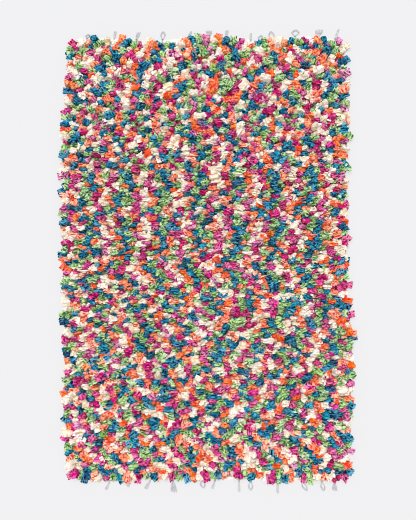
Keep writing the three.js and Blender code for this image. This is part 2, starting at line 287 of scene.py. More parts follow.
# The floor, which glows a little so that it is pale, the lights and the camera.
FLOOR = {"size": 12, "level": -0.0005, "grey": 0.16, "glow": (0.98, 0.98, 1, 1), "glow_strength": 0.655}
LIGHT = {
    "sky": 0.83, "sun": 2.5, "softness": math.radians(30), "place": (0.0, 1.2, 3.2),
    "turn": (math.radians(-28), math.radians(-8), 0),
}
CAMERA = {"x": 0.0033, "y": 0.0052, "level": 0.02, "span": 1.805, "lens": 50, "sensor": 36}
PIXEL_BLUR = 0.95


def srgb(red, green, blue):
    """A colour in the linear units that shaders take."""
    parts = [c / 255 for c in (red, green, blue)]
    return tuple(c / 12.92 if c <= 0.04045 else ((c + 0.055) / 1.055) ** 2.4 for c in parts) + (1.0,)


def read_table(table, place, column):
    places = [row["at"] for row in table]
    return float(np.interp(place, places, [row[column] for row in table]))


def select_only(piece):
    bpy.ops.object.select_all(action="DESELECT")
    piece.select_set(True)
    bpy.context.view_layer.objects.active = piece


def apply_modifiers(piece):
    select_only(piece)
    for modifier in list(piece.modifiers):
        bpy.ops.object.modifier_apply(modifier=modifier.name)


def corners_of(mesh):
    flat = np.empty(len(mesh.vertices) * 3)
    mesh.vertices.foreach_get("co", flat)
    return flat.reshape(-1, 3)


def move_corners(mesh, places):
    mesh.vertices.foreach_set("co", np.asarray(places, float).ravel())
    mesh.update()


def add_grid(name, cells_x, cells_y):
    """A flat grid of cells from -1 to 1 both ways, to be shaped."""
    bpy.ops.object.select_all(action="DESELECT")
    bpy.ops.mesh.primitive_grid_add(
        x_subdivisions=cells_x, y_subdivisions=cells_y, size=2, location=(0, 0, 0)
    )
    grid = bpy.context.object
    grid.name = name
    return grid


def give_thickness(piece, thick):
    thicken = piece.modifiers.new("thickness", "SOLIDIFY")
    thicken.thickness, thicken.offset = thick, 0
    apply_modifiers(piece)


# The rug's outline, read from the solids.


def outline_lines():
    """How far the pile reaches left and right at each y, and to foot and head at each x."""
    solid = corners_of(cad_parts["rag_pile"].data)
    low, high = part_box("rag_pile")
    ys = np.linspace(low.y, high.y, READ["along"])
    xs = np.linspace(low.x, high.x, READ["across"])
    band_y, band_x = (high.y - low.y) / READ["along"], (high.x - low.x) / READ["across"]
    left, right, foot, head = [], [], [], []
    for y in ys:
        row = solid[np.abs(solid[:, 1] - y) < band_y]
        left.append(row[:, 0].min())
        right.append(row[:, 0].max())
    for x in xs:
        column = solid[np.abs(solid[:, 0] - x) < band_x]
        foot.append(column[:, 1].min())
        head.append(column[:, 1].max())
    return {"ys": ys, "left": left, "right": right, "xs": xs, "foot": foot, "head": head}


def heading_edge(node, facing):
    """Where the heading's inner edge lies at each x."""
    solid = corners_of(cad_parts[node].data)
    low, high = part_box(node)
    xs = np.linspace(low.x + READ["heading_end"], high.x - READ["heading_end"], READ["heading"])
    near = [solid[np.abs(solid[:, 0] - x) < READ["heading_band"]] for x in xs]
    return xs, [(corners[:, 1] * facing).min() * facing for corners in near]


LINES = outline_lines()
EDGES = {1: heading_edge("head_fringe", 1), -1: heading_edge("foot_fringe", -1)}


def side_at(y, name):
    return np.interp(y, LINES["ys"], LINES[name])


def end_at(x, name):
    return np.interp(x, LINES["xs"], LINES[name])


def room_inside(x, y):
    """How far a place lies inside the pile's reach, in the nearer of the two ways."""
    rooms = x - side_at(y, "left"), side_at(y, "right") - x, y - end_at(x, "foot"), end_at(x, "head") - y
    return np.minimum.reduce(rooms)


def rim_path():
    """Places and outward angles round the pile, evenly spaced, inside its reach by the rim's inset."""
    low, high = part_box("rag_pile")
    middle = (low + high) / 2
    ring = []
    for step in range(RING["steps"]):
        turn = 2 * math.pi * step / RING["steps"]
        way = np.array([math.cos(turn), math.sin(turn)])
        near, far = RING["near"], RING["far"]
        for _ in range(RING["halvings"]):
            reach = (near + far) / 2
            if room_inside(middle.x + way[0] * reach, middle.y + way[1] * reach) > RIM["inset"]:
                near = reach
            else:
                far = reach
        ring.append((middle.x + way[0] * near, middle.y + way[1] * near))
    ring = np.array(ring + ring[:1])
    lengths = np.concatenate([[0], np.cumsum(np.linalg.norm(np.diff(ring, axis=0), axis=1))])
    count = round(lengths[-1] / RIM["pitch"])
    stops = np.linspace(0, lengths[-1], count, endpoint=False)
    places = np.stack([np.interp(stops, lengths, ring[:, axis]) for axis in (0, 1)], axis=1)
    runs = np.roll(places, -2, axis=0) - np.roll(places, 2, axis=0)
    return [(place, math.atan2(-run[0], run[1])) for place, run in zip(places, runs)]


# Rags. Bunches and flaps are each modelled once and then planted many times.


def soft_noise(chance, count, reach):
    """A smooth function of two numbers that wanders between about -1 and 1."""
    waves = [
        (chance.uniform(-reach, reach), chance.uniform(-reach, reach), chance.uniform(*WAVE_START))
        for _ in range(count)
    ]

    def value(a, b):
        return sum(np.sin(p * a + q * b + start) for p, q, start in waves) / math.sqrt(count / 2)

    return value


def fold_pleats(row, column, creases, chance):
    """How far each corner of a bunch's grid rises in its pleats, in shares of a fold."""
    depth = np.array([chance.uniform(*PLEAT["crease_vary"]) for _ in range(BUNCH_CELLS[0] + 1)])
    height = np.array([chance.uniform(*PLEAT["ridge_vary"]) for _ in range(BUNCH_CELLS[0] + 1)])
    in_crease = np.isin(row, creases)
    rise = np.where(in_crease, -PLEAT["crease"] * depth[column], PLEAT["ridge"] * height[column])
    notch = chance.randrange(1, BUNCH_CELLS[0])
    notched = (column == notch) & (np.abs(row - chance.randrange(2, BUNCH_CELLS[1] - 1)) < 2)
    return np.where(notched, rise - PLEAT["notch"], rise)


def crumple_bunch(sheet, creases, chance):
    """Gathers a flat grid over its knot, folds it in pleats and spreads its rim on the ground."""
    flat = corners_of(sheet.data)
    u, v = flat[:, 0], flat[:, 1]
    disc_x, disc_y = u * np.sqrt(1 - v * v / 2), v * np.sqrt(1 - u * u / 2)
    ring = np.hypot(disc_x, disc_y)
    way_x = disc_x / np.maximum(ring, TINY)
    way_y = disc_y / np.maximum(ring, TINY)
    fall = np.clip(ring / BUNCH["cap"], 0, 1) * BUNCH["fall"]
    tuck = np.clip((ring - BUNCH["cap"]) / (1 - BUNCH["cap"]), 0, 1)
    open_up = 1 - tuck

    row = np.rint((v + 1) / 2 * BUNCH_CELLS[1]).astype(int)
    column = np.rint((u + 1) / 2 * BUNCH_CELLS[0]).astype(int)
    rise = fold_pleats(row, column, creases, chance) * PLEAT["fold"]
    rise = rise + PLEAT["crumple"] * soft_noise(chance, *WAVES["bunch"])(disc_x, disc_y)

    widest = np.maximum(np.maximum(np.abs(way_x), np.abs(way_y)), BUNCH["square_from"])
    out = (np.sin(fall) ** BUNCH["bulge"] + BUNCH["skirt"] * tuck) * widest ** -BUNCH["square"]
    lobe = soft_noise(chance, *WAVES["lobe"])(way_x * BUNCH["lobe_pitch"], way_y * BUNCH["lobe_pitch"])
    lobe = 1 + lobe * BUNCH["lobe"] * ring
    x = way_x * out * BUNCH["half"][0] * chance.uniform(*BUNCH["half_vary"]) * lobe
    y = way_y * out * BUNCH["half"][1] * chance.uniform(*BUNCH["half_vary"]) * lobe
    dome = np.clip(np.cos(fall) + BUNCH["shoulder"], 0, None) ** BUNCH["round"] / BUNCH["flatten"]
    up = BUNCH["foot"] + chance.uniform(*BUNCH["crown"]) * dome
    up = np.where(tuck > 0, BUNCH["foot"] * (1 - BUNCH["drop"] * tuck), up)
    steep = np.clip(np.sin(fall), 0, 1)
    x += way_x * rise * steep * open_up * PLEAT["outward"]
    y += way_y * rise * steep * open_up * PLEAT["outward"]
    x += BUNCH["wander"] * soft_noise(chance, *WAVES["wander"])(disc_x, disc_y) * open_up
    y += BUNCH["wander"] * soft_noise(chance, *WAVES["wander"])(disc_x, disc_y) * open_up
    up = np.maximum(up + rise * (1 - PLEAT["side"] * steep) * open_up, BUNCH["lowest"])
    move_corners(sheet.data, np.stack([x, y, up], axis=1))
    # Painted light for the colour: shade in the pleats' creases, down the sides and over the skirt, lighter
    # on risen folds.
    crest = np.clip(PAINTED_LIGHT["bunch"] + rise / PLEAT["fold"] * PAINTED_LIGHT["rise"], 0, 1)
    upright = np.cos(fall * PAINTED_LIGHT["fall"]).clip(0, 1)
    return crest * (PAINTED_LIGHT["side"] + (1 - PAINTED_LIGHT["side"]) * upright) * open_up


def lay_flap(sheet, form, chance):
    """Shapes a flat grid as a cut end that grows from its knot at the origin and leans to +X."""
    flat = corners_of(sheet.data)
    across, along = flat[:, 1], (flat[:, 0] + 1) / 2
    root, tip = (math.radians(chance.uniform(*form[key])) for key in ("root", "tip"))
    slant = chance.uniform(-FLAP["slant"], FLAP["slant"])
    twist = math.radians(chance.uniform(-1, 1) * form["twist"])
    point_at = chance.uniform(-FLAP["off_point"], FLAP["off_point"])

    steps = np.linspace(0, 1, FLAP_STEPS + 1)
    lean = root + (tip - root) * steps ** FLAP["bend"]
    out = np.concatenate([[0], np.cumsum(np.sin(lean[1:]))]) * form["reach"] / FLAP_STEPS
    up = np.concatenate([[0], np.cumsum(np.cos(lean[1:]))]) * form["reach"] / FLAP_STEPS
    cut = 1 + slant * across - form["point"] * np.abs(across - point_at) * FLAP["taper"]
    place = np.clip(along * cut, 0, 1)
    centre_out, centre_up = np.interp(place, steps, out), np.interp(place, steps, up)
    angle = np.interp(place, steps, lean)

    widening = FLAP["width"] / 2 * form["spread"] - FLAP["gather"]
    half = FLAP["gather"] + widening * place ** FLAP["open"]
    column = np.rint((across + 1) / 2 * FLAP_CELLS[1]).astype(int)
    pleat = np.array([
        chance.uniform(*FLAP["pleat_vary"]) * (1 if number % 2 else -1)
        for number in range(FLAP_CELLS[1] + 1)
    ])
    rough = soft_noise(chance, *WAVES["flap"])(across, along * 2)
    rise = form["fold"] * pleat[column] * FLAP["pleat"] + form["crumple"] * rough
    rise = rise * (FLAP["root"] + (1 - FLAP["root"]) * place)
    shear = chance.uniform(-FLAP["shear"], FLAP["shear"]) * place * FLAP["width"]
    side_y, side_up = half * across * np.cos(twist * place), half * across * np.sin(twist * place)
    places = np.stack(
        [
            centre_out - np.cos(angle) * (rise + side_up),
            side_y + shear,
            centre_up + np.sin(angle) * (rise + side_up),
        ],
        axis=1,
    )
    move_corners(sheet.data, places)
    # Painted light for the colour: shade near the knot and in sunken pleats, lighter towards the tip and on
    # raised pleats.
    return np.clip(PAINTED_LIGHT["flap"] + PAINTED_LIGHT["tip"] * place + PAINTED_LIGHT["pleat"] * pleat[column], 0, 1)


def as_arrays(rag, crest):
    """A rag's corners, faces, map and its painted light, from shade in its creases to its lit crests, to be
    copied.
    """
    mesh = rag.data
    loops = np.empty(len(mesh.loops), np.int64)
    mesh.loops.foreach_get("vertex_index", loops)
    sizes = np.empty(len(mesh.polygons), np.int64)
    mesh.polygons.foreach_get("loop_total", sizes)
    uv = np.empty(len(mesh.loops) * 2)
    mesh.uv_layers[0].data.foreach_get("uv", uv)
    corners = corners_of(mesh)
    bpy.data.objects.remove(rag)
    return {"corners": corners, "loops": loops, "sizes": sizes, "uv": uv.reshape(-1, 2), "crest": crest}


def make_bunch(creases, chance):
    bunch = add_grid("bunch", *BUNCH_CELLS)
    crest = crumple_bunch(bunch, creases, chance)
    return as_arrays(bunch, crest)


def make_flap(form, chance):
    """A flap with thickness, whose two faces lie one over the other in its cell of the map."""
    flap = add_grid("flap", *FLAP_CELLS)
    crest = lay_flap(flap, form, chance)
    faces = len(flap.data.polygons)
    give_thickness(flap, FLAP["thick"])
    layer = flap.data.uv_layers[0]
    for face in flap.data.polygons:
        for loop in face.loop_indices:
            u, v = layer.data[loop].uv
            layer.data[loop].uv = (u, (v + (face.index >= faces)) / 2)
    return as_arrays(flap, np.concatenate([crest, crest]))


def make_patterns():
    chance = random.Random(SEED)
    bunches = [make_bunch(creases, chance) for creases in CREASE_ROWS for _ in range(BUNCHES_PER_CREASES)]
    flaps = {
        name: [make_flap(form, chance) for _ in range(FLAPS_PER_FORM)] for name, form in FLAP_FORMS.items()
    }
    return bunches, flaps


def turned(yaw, tilt, tilt_way):
    """A turn about the upright, then a lean by tilt towards tilt_way."""
    c, s = math.cos(yaw), math.sin(yaw)
    spin = np.array([[c, -s, 0], [s, c, 0], [0, 0, 1]])
    ax, ay = -math.sin(tilt_way), math.cos(tilt_way)
    c, s = math.cos(tilt), math.sin(tilt)
    lean = np.array([
        [c + ax * ax * (1 - c), ax * ay * (1 - c), ay * s],
        [ax * ay * (1 - c), c + ay * ay * (1 - c), -ax * s],
        [-ay * s, ax * s, c],
    ])
    return lean @ spin


# Where the knots stand, and which dye each has.


def pick_dye(step, chance):
    if chance.random() < ODD_RAGS:
        return chance.choices(list(ODD_SHARES), list(ODD_SHARES.values()))[0]
    return DYE_ORDER[step % len(DYE_ORDER)]


def field_knots(chance):
    """Knots in rows from foot to head, each row with the dyes in order, one way or the other."""
    knots = []
    low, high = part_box("rag_pile")
    length = high.y - low.y
    along, direction, start = 0.0, 1, 0
    while along < 1:
        zone = {column: read_table(ZONES, along, column) for column in ZONES[0]}
        if chance.random() < ROW_TURNS:
            direction, start = -direction, chance.randrange(len(DYE_ORDER))
        else:
            start += chance.choice(ROW_STEPS)
        row_lean = chance.gauss(0, FIELD["row_lean"])
        x = low.x + chance.uniform(0, zone["knot"])
        step = round((x - low.x) / zone["knot"])
        while x < high.x:
            y_here = end_at(x, "foot") + (end_at(x, "head") - end_at(x, "foot")) * along
            x_shift, y_shift = (chance.gauss(0, share) for share in FIELD["shift"])
            place = (x + x_shift * zone["knot"], y_here + y_shift * zone["row"])
            if chance.random() < ORDER_SLIPS:
                step += chance.choice((-1, 1))
            if room_inside(*place) > FIELD["inset"]:
                big = chance.random() < FIELD["big_share"]
                knots.append({
                    "place": place,
                    "dye": pick_dye(start + direction * step, chance),
                    "yaw": math.pi * chance.randrange(2) + chance.gauss(0, zone["turn"]),
                    "lean": (chance.gauss(0, FIELD["lean"]), row_lean + chance.gauss(0, FIELD["lean"])),
                    "size": zone["bulk"] * chance.uniform(*FIELD["size"]) * (FIELD["big"] if big else 1),
                    "press": zone["press"],
                    "flap_yaw": chance.choice((-1, 1)) * math.pi / 2 + chance.gauss(0, FIELD["flap_turn"]),
                    "flaps": "field",
                })
            x += zone["knot"] * chance.uniform(*FIELD["pitch_vary"])
            step += 1
        along += zone["row"] / length
    return knots


def rim_knots(chance):
    """Rags at the rim lean out and hang over the ground's edge."""
    knots = []
    for number, (place, outward) in enumerate(rim_path()):
        lean = chance.uniform(*RIM["lean"])
        shift = np.array([chance.gauss(0, RIM["shift"]), chance.gauss(0, RIM["shift"])])
        knots.append({
            "place": tuple(place + shift),
            "dye": pick_dye(number, chance),
            "yaw": outward + chance.gauss(0, RIM["turn"]),
            "lean": (lean * math.cos(outward), lean * math.sin(outward)),
            "size": chance.uniform(*RIM["size"]),
            "press": 1.0,
            "flap_yaw": outward + chance.gauss(0, RIM["flap_turn"]),
            "flaps": "rim",
        })
    return knots


def gap_knots(knots, chance):
    """More knots wherever the ground would show between the others."""
    tree = KDTree(len(knots))
    for number, knot in enumerate(knots):
        x, y = knot["place"]
        tree.insert((x / GAP["across"], y / GAP["along"], 0), number)
    tree.balance()
    low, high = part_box("rag_pile")
    xs, ys = np.meshgrid(np.arange(low.x, high.x, GAP["step"]), np.arange(low.y, high.y, GAP["step"]))
    inside = room_inside(xs, ys) > RIM["inset"]
    bare = []
    for x, y in zip(xs[inside].tolist(), ys[inside].tolist()):
        away = tree.find((x / GAP["across"], y / GAP["along"], 0))[2]
        if away > 1:
            bare.append((away, x, y))
    added = []
    for _, x, y in sorted(bare, reverse=True):
        spot = np.array([x / GAP["across"], y / GAP["along"]])
        if all(np.hypot(*(spot - other)) > GAP["apart"] for other, _ in added):
            added.append((spot, {
                "place": (x, y),
                "dye": chance.choice(DYE_ORDER),
                "yaw": chance.gauss(0, GAP["turn"]),
                "lean": (chance.gauss(0, GAP["lean"]), chance.gauss(0, GAP["lean"])),
                "size": chance.uniform(*GAP["size"]),
                "press": 1.0,
                "flap_yaw": chance.uniform(0, 2 * math.pi),
                "flaps": "field",
            }))
    return [knot for _, knot in added]


def plan_rags(knots, patterns, chance):
    """Which bunches and flaps each knot has, and how each is turned, placed, sized and shaded."""
    bunches, flaps = patterns
    rags = []
    for knot in knots:
        shade = chance.betavariate(*RAG_SHADE)
        lean_x, lean_y = knot["lean"]
        lean, lean_way = math.hypot(lean_x, lean_y), math.atan2(lean_y, lean_x)
        across = knot["yaw"] + (math.pi / 2 if knot["flaps"] == "rim" else 0) + chance.gauss(0, PAIR["turn"])
        for side in (-1, 1):
            apart = PAIR["apart"] * side * knot["size"] * chance.uniform(*PAIR["apart_vary"])
            spin = knot["yaw"] + chance.gauss(0, PAIR["spin"]) + math.pi * chance.randrange(2)
            x, y = knot["place"]
            rags.append({
                "rag": chance.choice(bunches),
                "turn": turned(spin, lean + abs(chance.gauss(0, PAIR["tilt"])), lean_way),
                "place": (x + apart * math.cos(across), y + apart * math.sin(across)),
                "size": knot["size"] * chance.uniform(*PAIR["size"]),
                "press": knot["press"],
                "shade": shade + chance.gauss(0, PAIR["shade"]),
            })
        if chance.random() < FLAP_SHARE[knot["flaps"]]:
            shares = [form[knot["flaps"]] for form in FLAP_FORMS.values()]
            form = chance.choices(list(FLAP_FORMS), shares)[0]
            rags.append({
                "rag": chance.choice(flaps[form]),
                "turn": turned(knot["flap_yaw"], lean, lean_way),
                "place": knot["place"],
                "size": knot["size"],
                "press": 1.0,
                "shade": shade + chance.gauss(0, FLAP["shade"]),
            })
    return rags


def settle(heights):
    """Keeps rags on the ground and below the top of the pile."""
    heights = np.maximum(heights, 0) + GROUND["thick"] * GROUND["rest"]
    over = np.maximum(heights - LOFT["free"], 0)
    room = LOFT["top"] - LOFT["free"]
    return np.minimum(heights, LOFT["free"]) + over / (1 + over / room)


def plant_rags(name, rags):
    """One joined mesh of rags, each with its own cell of the map and its own cloth."""
    corners, loops, sizes, uvs, shades, crests, cloths = [], [], [], [], [], [], []
    cells = math.ceil(math.sqrt(len(rags)))
    placed = 0
    for number, planned in enumerate(rags):
        rag = planned["rag"]
        shape = (rag["corners"] * planned["size"]) @ planned["turn"].T
        shape[:, 1] *= planned["press"]
        shape[:, 2] = settle(shape[:, 2])
        shape[:, :2] += planned["place"]
        corners.append(shape)
        loops.append(rag["loops"] + placed)
        sizes.append(rag["sizes"])
        cell = np.array([number % cells, number // cells])
        uvs.append((rag["uv"] * (1 - 2 * MAP_MARGIN) + MAP_MARGIN + cell) / cells)
        shades.append(np.full(len(shape), min(max(planned["shade"], 0), 1)))
        crests.append(rag["crest"])
        spot = np.array([number % CLOTH["in_row"], number // CLOTH["in_row"], 0])
        cloths.append(rag["corners"] * planned["size"] + CLOTH["apart"] * spot)
        placed += len(shape)
    mesh = bpy.data.meshes.new(name)
    write_mesh(mesh, np.concatenate(corners), np.concatenate(loops), np.concatenate(sizes))
    layer = mesh.uv_layers.new(name="OFBake")
    layer.data.foreach_set("uv", np.concatenate(uvs).ravel())
    # Each rag's shade of its dye, and its painted light: shade in creases and on skirts, lighter on crests.
    for label, values in (("shade", shades), ("crest", crests)):
        attribute = mesh.attributes.new(label, "FLOAT", "POINT")
        attribute.data.foreach_set("value", np.concatenate(values))
    mesh.shade_smooth()
    mesh.set_sharp_from_angle(angle=SHARP_FOLD)
    attribute = mesh.attributes.new("cloth", "FLOAT_VECTOR", "POINT")
    attribute.data.foreach_set("vector", np.concatenate(cloths).ravel())
    piece = bpy.data.objects.new(name, mesh)
    bpy.context.scene.collection.objects.link(piece)
    return piece


def write_mesh(mesh, corners, loops, sizes):
    mesh.vertices.add(len(corners))
    mesh.vertices.foreach_set("co", corners.ravel())
    mesh.loops.add(len(loops))
    mesh.loops.foreach_set("vertex_index", loops)
    mesh.polygons.add(len(sizes))
    mesh.polygons.foreach_set("loop_start", np.concatenate([[0], np.cumsum(sizes)[:-1]]))
    mesh.polygons.foreach_set("loop_total", sizes)
    mesh.polygons.foreach_set("use_smooth", np.ones(len(sizes), bool))
    mesh.update(calc_edges=True)
    mesh.validate()


# Materials.


class Finish:
    """A material under construction."""

    def __init__(self, name, roughness, sheen):
        self.material = bpy.data.materials.new(name)
        self.material.use_nodes = True
        self.shader = self.material.node_tree.nodes["Principled BSDF"]
        self.shader.inputs["Roughness"].default_value = roughness
        self.shader.inputs["Specular IOR Level"].default_value = SHINE["specular"]
        self.shader.inputs["Sheen Weight"].default_value = sheen
        self.shader.inputs["Sheen Roughness"].default_value = SHINE["sheen_roughness"]

    def node(self, kind, settings=None, **inputs):
        made = self.material.node_tree.nodes.new(kind)
        for key, value in (settings or {}).items():
            setattr(made, key, value)
        for key, value in inputs.items():
            made.inputs[key].default_value = value
        return made

    def link(self, out_of, output, into, socket):
        self.material.node_tree.links.new(out_of.outputs[output], into.inputs[socket])

    def attribute(self, name):
        return self.node("ShaderNodeAttribute", {"attribute_name": name})

    def range(self, source, output, spans):
        made = self.node("ShaderNodeMapRange")
        names = ("From Min", "From Max", "To Min", "To Max")
        for name, value in zip(names, spans):
            made.inputs[name].default_value = value
        self.link(source, output, made, "Value")
        return made

    def mix(self, factor, first, second):
        """The colour output of a mix of two colours, each given as a colour or as an output. The node
        takes colours at sockets 6 and 7 and gives one at socket 2."""
        made = self.node("ShaderNodeMix", {"data_type": "RGBA"})
        self.link(factor, "Result", made, 0)
        for socket, colour in ((6, first), (7, second)):
            if isinstance(colour, tuple):
                made.inputs[socket].default_value = colour
            else:
                self.material.node_tree.links.new(colour, made.inputs[socket])
        return made.outputs[2]


def crumpled_cotton(finish):
    """The cloth's own places, and the crumple's height over it."""
    cloth = finish.attribute("cloth")
    stretch = finish.node("ShaderNodeMapping", Scale=CRUMPLE["stretch"])
    ridges = finish.node(
        "ShaderNodeTexNoise", {"noise_type": "RIDGED_MULTIFRACTAL"},
        Scale=1 / CRUMPLE["pitch"], Detail=CRUMPLE["detail"],
        Roughness=0.6, Lacunarity=2.0, Offset=1.0, Gain=1.0,
    )
    finish.link(cloth, "Vector", stretch, "Vector")
    finish.link(stretch, "Vector", ridges, "Vector")
    return cloth, ridges


def shaded_dye(finish, colours):
    """The dye's colour by each rag's shade, from darkest to palest."""
    ramp = finish.node("ShaderNodeValToRGB")
    stops = ramp.color_ramp.elements
    while len(stops) < len(colours):
        stops.new(0.5)
    for number, colour in enumerate(colours):
        stops[number].position = number / (len(colours) - 1)
        stops[number].color = srgb(*colour)
    finish.link(finish.attribute("shade"), "Fac", ramp, "Fac")
    return ramp


def faded_dye(finish, cloth, ramp):
    """The dye's colour, a little stronger or more faded from one rag to the next."""
    faded = finish.node("ShaderNodeHueSaturation")
    for quality, change in FADE.items():
        uneven = finish.node("ShaderNodeTexNoise", Scale=1 / change["pitch"], Detail=0.0)
        finish.link(cloth, "Vector", uneven, "Vector")
        finish.link(finish.range(uneven, "Fac", (*NOISE_RANGE, *change["span"])), "Result", faded, quality)
    finish.link(ramp, "Color", faded, "Color")
    return faded.outputs["Color"]


def dyed_cotton(name, dye):
    """Cotton rag in one dye: each rag has its own shade of the dye, crumpled, with painted shade in its
    creases and a whitish painted highlight on its ridges."""
    finish = Finish(name, roughness=0.9, sheen=0.06)
    ramp = shaded_dye(finish, dye["rags"])
    cloth, ridges = crumpled_cotton(finish)
    pleat = finish.range(
        ridges, "Fac", (CRUMPLE["creases"], CRUMPLE["ridges"], CRUMPLE["dip"], CRUMPLE["ridge"])
    )
    fold = finish.range(finish.attribute("crest"), "Fac", (0, 1, CRUMPLE["valley"], CRUMPLE["crest"]))
    height = finish.node("ShaderNodeMath", {"operation": "MULTIPLY"})
    finish.link(pleat, "Result", height, 0)
    finish.link(fold, "Result", height, 1)
    # Painted shade in the creases and a painted highlight on the ridges, set by the crumple's height.
    painted_shade = finish.range(height, "Value", PAINTED_SHADE_RANGE)
    painted_highlight = finish.range(height, "Value", PAINTED_HIGHLIGHT)
    colour = finish.mix(painted_shade, srgb(*dye["crease"]), faded_dye(finish, cloth, ramp))
    colour = finish.mix(painted_highlight, colour, PAINTED_HIGHLIGHT_COLOUR)
    finish.material.node_tree.links.new(colour, finish.shader.inputs["Base Color"])

    bump = finish.node("ShaderNodeBump", Strength=1.0, Distance=CRUMPLE["depth"])
    finish.link(ridges, "Fac", bump, "Height")
    nap = finish.node("ShaderNodeTexNoise", Scale=NAP["scale"], Detail=NAP["detail"])
    nap_bump = finish.node("ShaderNodeBump", Strength=NAP["strength"], Distance=NAP["depth"])
    finish.link(cloth, "Vector", nap, "Vector")
    finish.link(nap, "Fac", nap_bump, "Height")
    finish.link(bump, "Normal", nap_bump, "Normal")
    finish.link(nap_bump, "Normal", finish.shader, "Normal")
    return finish.material


def white_cotton(name, colour, pitch):
    """Plain undyed cotton in an even weave of that pitch."""
    finish = Finish(name, roughness=0.85, sheen=0.1)
    place = finish.node("ShaderNodeTexCoord")
    darker = tuple(c * WEAVE["darker"] for c in colour)
    weave = finish.node("ShaderNodeTexChecker", Scale=1 / pitch, Color1=srgb(*colour), Color2=srgb(*darker))
    bump = finish.node("ShaderNodeBump", Strength=WEAVE["strength"], Distance=WEAVE["depth"])
    finish.link(place, "Object", weave, "Vector")
    finish.link(weave, "Color", finish.shader, "Base Color")
    finish.link(weave, "Fac", bump, "Height")
    finish.link(bump, "Normal", finish.shader, "Normal")
    return finish.material


# The ground weave, the headings and the warp ends.


def make_ground():
    """The woven ground under the rags, and its flat size."""
    low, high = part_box("rag_pile")
    size = high - low
    ground = add_grid("ground_weave", round(size.x / GROUND["cell"]), round(size.y / GROUND["cell"]))
    places = []
    for x, y, _ in corners_of(ground.data):
        y_mean = low.y + (y + 1) / 2 * size.y
        left, right = side_at(y_mean, "left") + GROUND["inset"], side_at(y_mean, "right") - GROUND["inset"]
        x_here = left + (x + 1) / 2 * (right - left)
        foot, head = end_at(x_here, "foot") + GROUND["inset"], end_at(x_here, "head") - GROUND["inset"]
        places.append((x_here, foot + (y + 1) / 2 * (head - foot), GROUND["thick"] / 2))
    move_corners(ground.data, places)
    give_thickness(ground, GROUND["thick"])
    # The ground's darker colour is painted shade under the rags.
    ground.data.materials.append(white_cotton("ground_cotton_painted_shade", **WHITES["ground"]))
    return ground, (size.x - 2 * GROUND["inset"], size.y - 2 * GROUND["inset"])


def heading_place(across_mm, facing):
    """A place on the heading's inner edge, from millimetres across the pile."""
    x = (across_mm + PILE_MM["middle_x"]) * MM
    return x, float(np.interp(x, *EDGES[facing]))


def make_heading(name, facing):
    """The narrow woven strip that the warp ends come out of."""
    strip = add_grid(name, *HEADING_CELLS)
    places = []
    for u, v, _ in corners_of(strip.data):
        across = HEADING["from"] + (v + 1) / 2 * (HEADING["to"] - HEADING["from"])
        x, y = heading_place(across, facing)
        places.append((x, y + facing * (u + 1) / 2 * HEADING["depth"] * MM, HEADING["level"] * MM))
    move_corners(strip.data, places)
    if facing > 0:
        strip.data.flip_normals()
    give_thickness(strip, HEADING["thick"] * MM)
    strip.data.materials.append(white_cotton(f"{name}_cotton", **WHITES["heading"]))
    return strip


def smooth_route(points, count):
    """A curve through a few points, as evenly numbered places."""
    points = [Vector((x, y, 0)) for x, y in points]
    ends = [points[0] * 2 - points[1]] + points + [points[-1] * 2 - points[-2]]
    route = []
    for number in range(count + 1):
        spot = number / count * (len(points) - 1)
        piece = min(int(spot), len(points) - 2)
        t = spot - piece
        a, b, c, d = ends[piece:piece + 4]
        route.append(
            0.5 * (
                2 * b + (c - a) * t + (2 * a - 5 * b + 4 * c - d) * t ** 2
                + (3 * b - a - 3 * c + d) * t ** 3
            )
        )
    return route


def tails(end, reach):
    """The routes of warp yarns that part from their knot, in millimetres."""
    lean, spread = end["lean"], end["spread"]
    return [
        smooth_route([
            (side * TAILS["root"], ROOT["back"]),
            (side * TAILS["knot"] + lean * ROOT["knot_lean"], HEADING["knot"]),
            (lean * ROOT["middle_lean"] + side * spread * TAILS["part"], reach * TAILS["part_at"]),
            (lean + side * spread / 2, reach * length),
        ], TAILS["steps"])
        for side, length in TAILS["yarns"]
    ]


def loop(end, reach):
    """The routes of warp yarns that come back to their knot, one inside the other, in millimetres."""
    lean = end["lean"]
    middle, at_knot = lean * ROOT["middle_lean"], lean * ROOT["knot_lean"]
    routes = []
    for wider, longer in LOOPS["yarns"]:
        wide, tip = end["spread"] + wider, reach + longer
        routes.append(smooth_route([
            (-LOOPS["root"], ROOT["back"]),
            (-LOOPS["knot"] + at_knot, HEADING["knot"]),
            (middle - wide / 2, tip * LOOPS["wide_at"]),
            (lean, tip - LOOPS["crown"]),
            (middle + wide / 2, tip * LOOPS["wide_at"]),
            (LOOPS["knot"] + at_knot, HEADING["knot"]),
            (LOOPS["root"], ROOT["back"]),
        ], LOOPS["steps"]))
    return routes


def twist_yarn(curve, route, chance):
    """Lays plies round each other along a route on the floor."""
    start = chance.uniform(0, 2 * math.pi)
    travelled = [0.0]
    for before, after in zip(route, route[1:]):
        travelled.append(travelled[-1] + (after - before).length)
    for ply in range(YARN["plies"]):
        spline = curve.splines.new("POLY")
        spline.points.add(len(route) - 1)
        for number, place in enumerate(route):
            run = route[min(number + 1, len(route) - 1)] - route[max(number - 1, 0)]
            side = Vector((-run.y, run.x, 0)).normalized()
            turn = start + 2 * math.pi * (ply / YARN["plies"] + travelled[number] / YARN["turns"])
            spot = place + side * math.cos(turn) * YARN["apart"]
            level = YARN["ply"] + YARN["apart"] * (1 + math.sin(turn))
            spline.points[number].co = (spot.x, spot.y, level, 1)


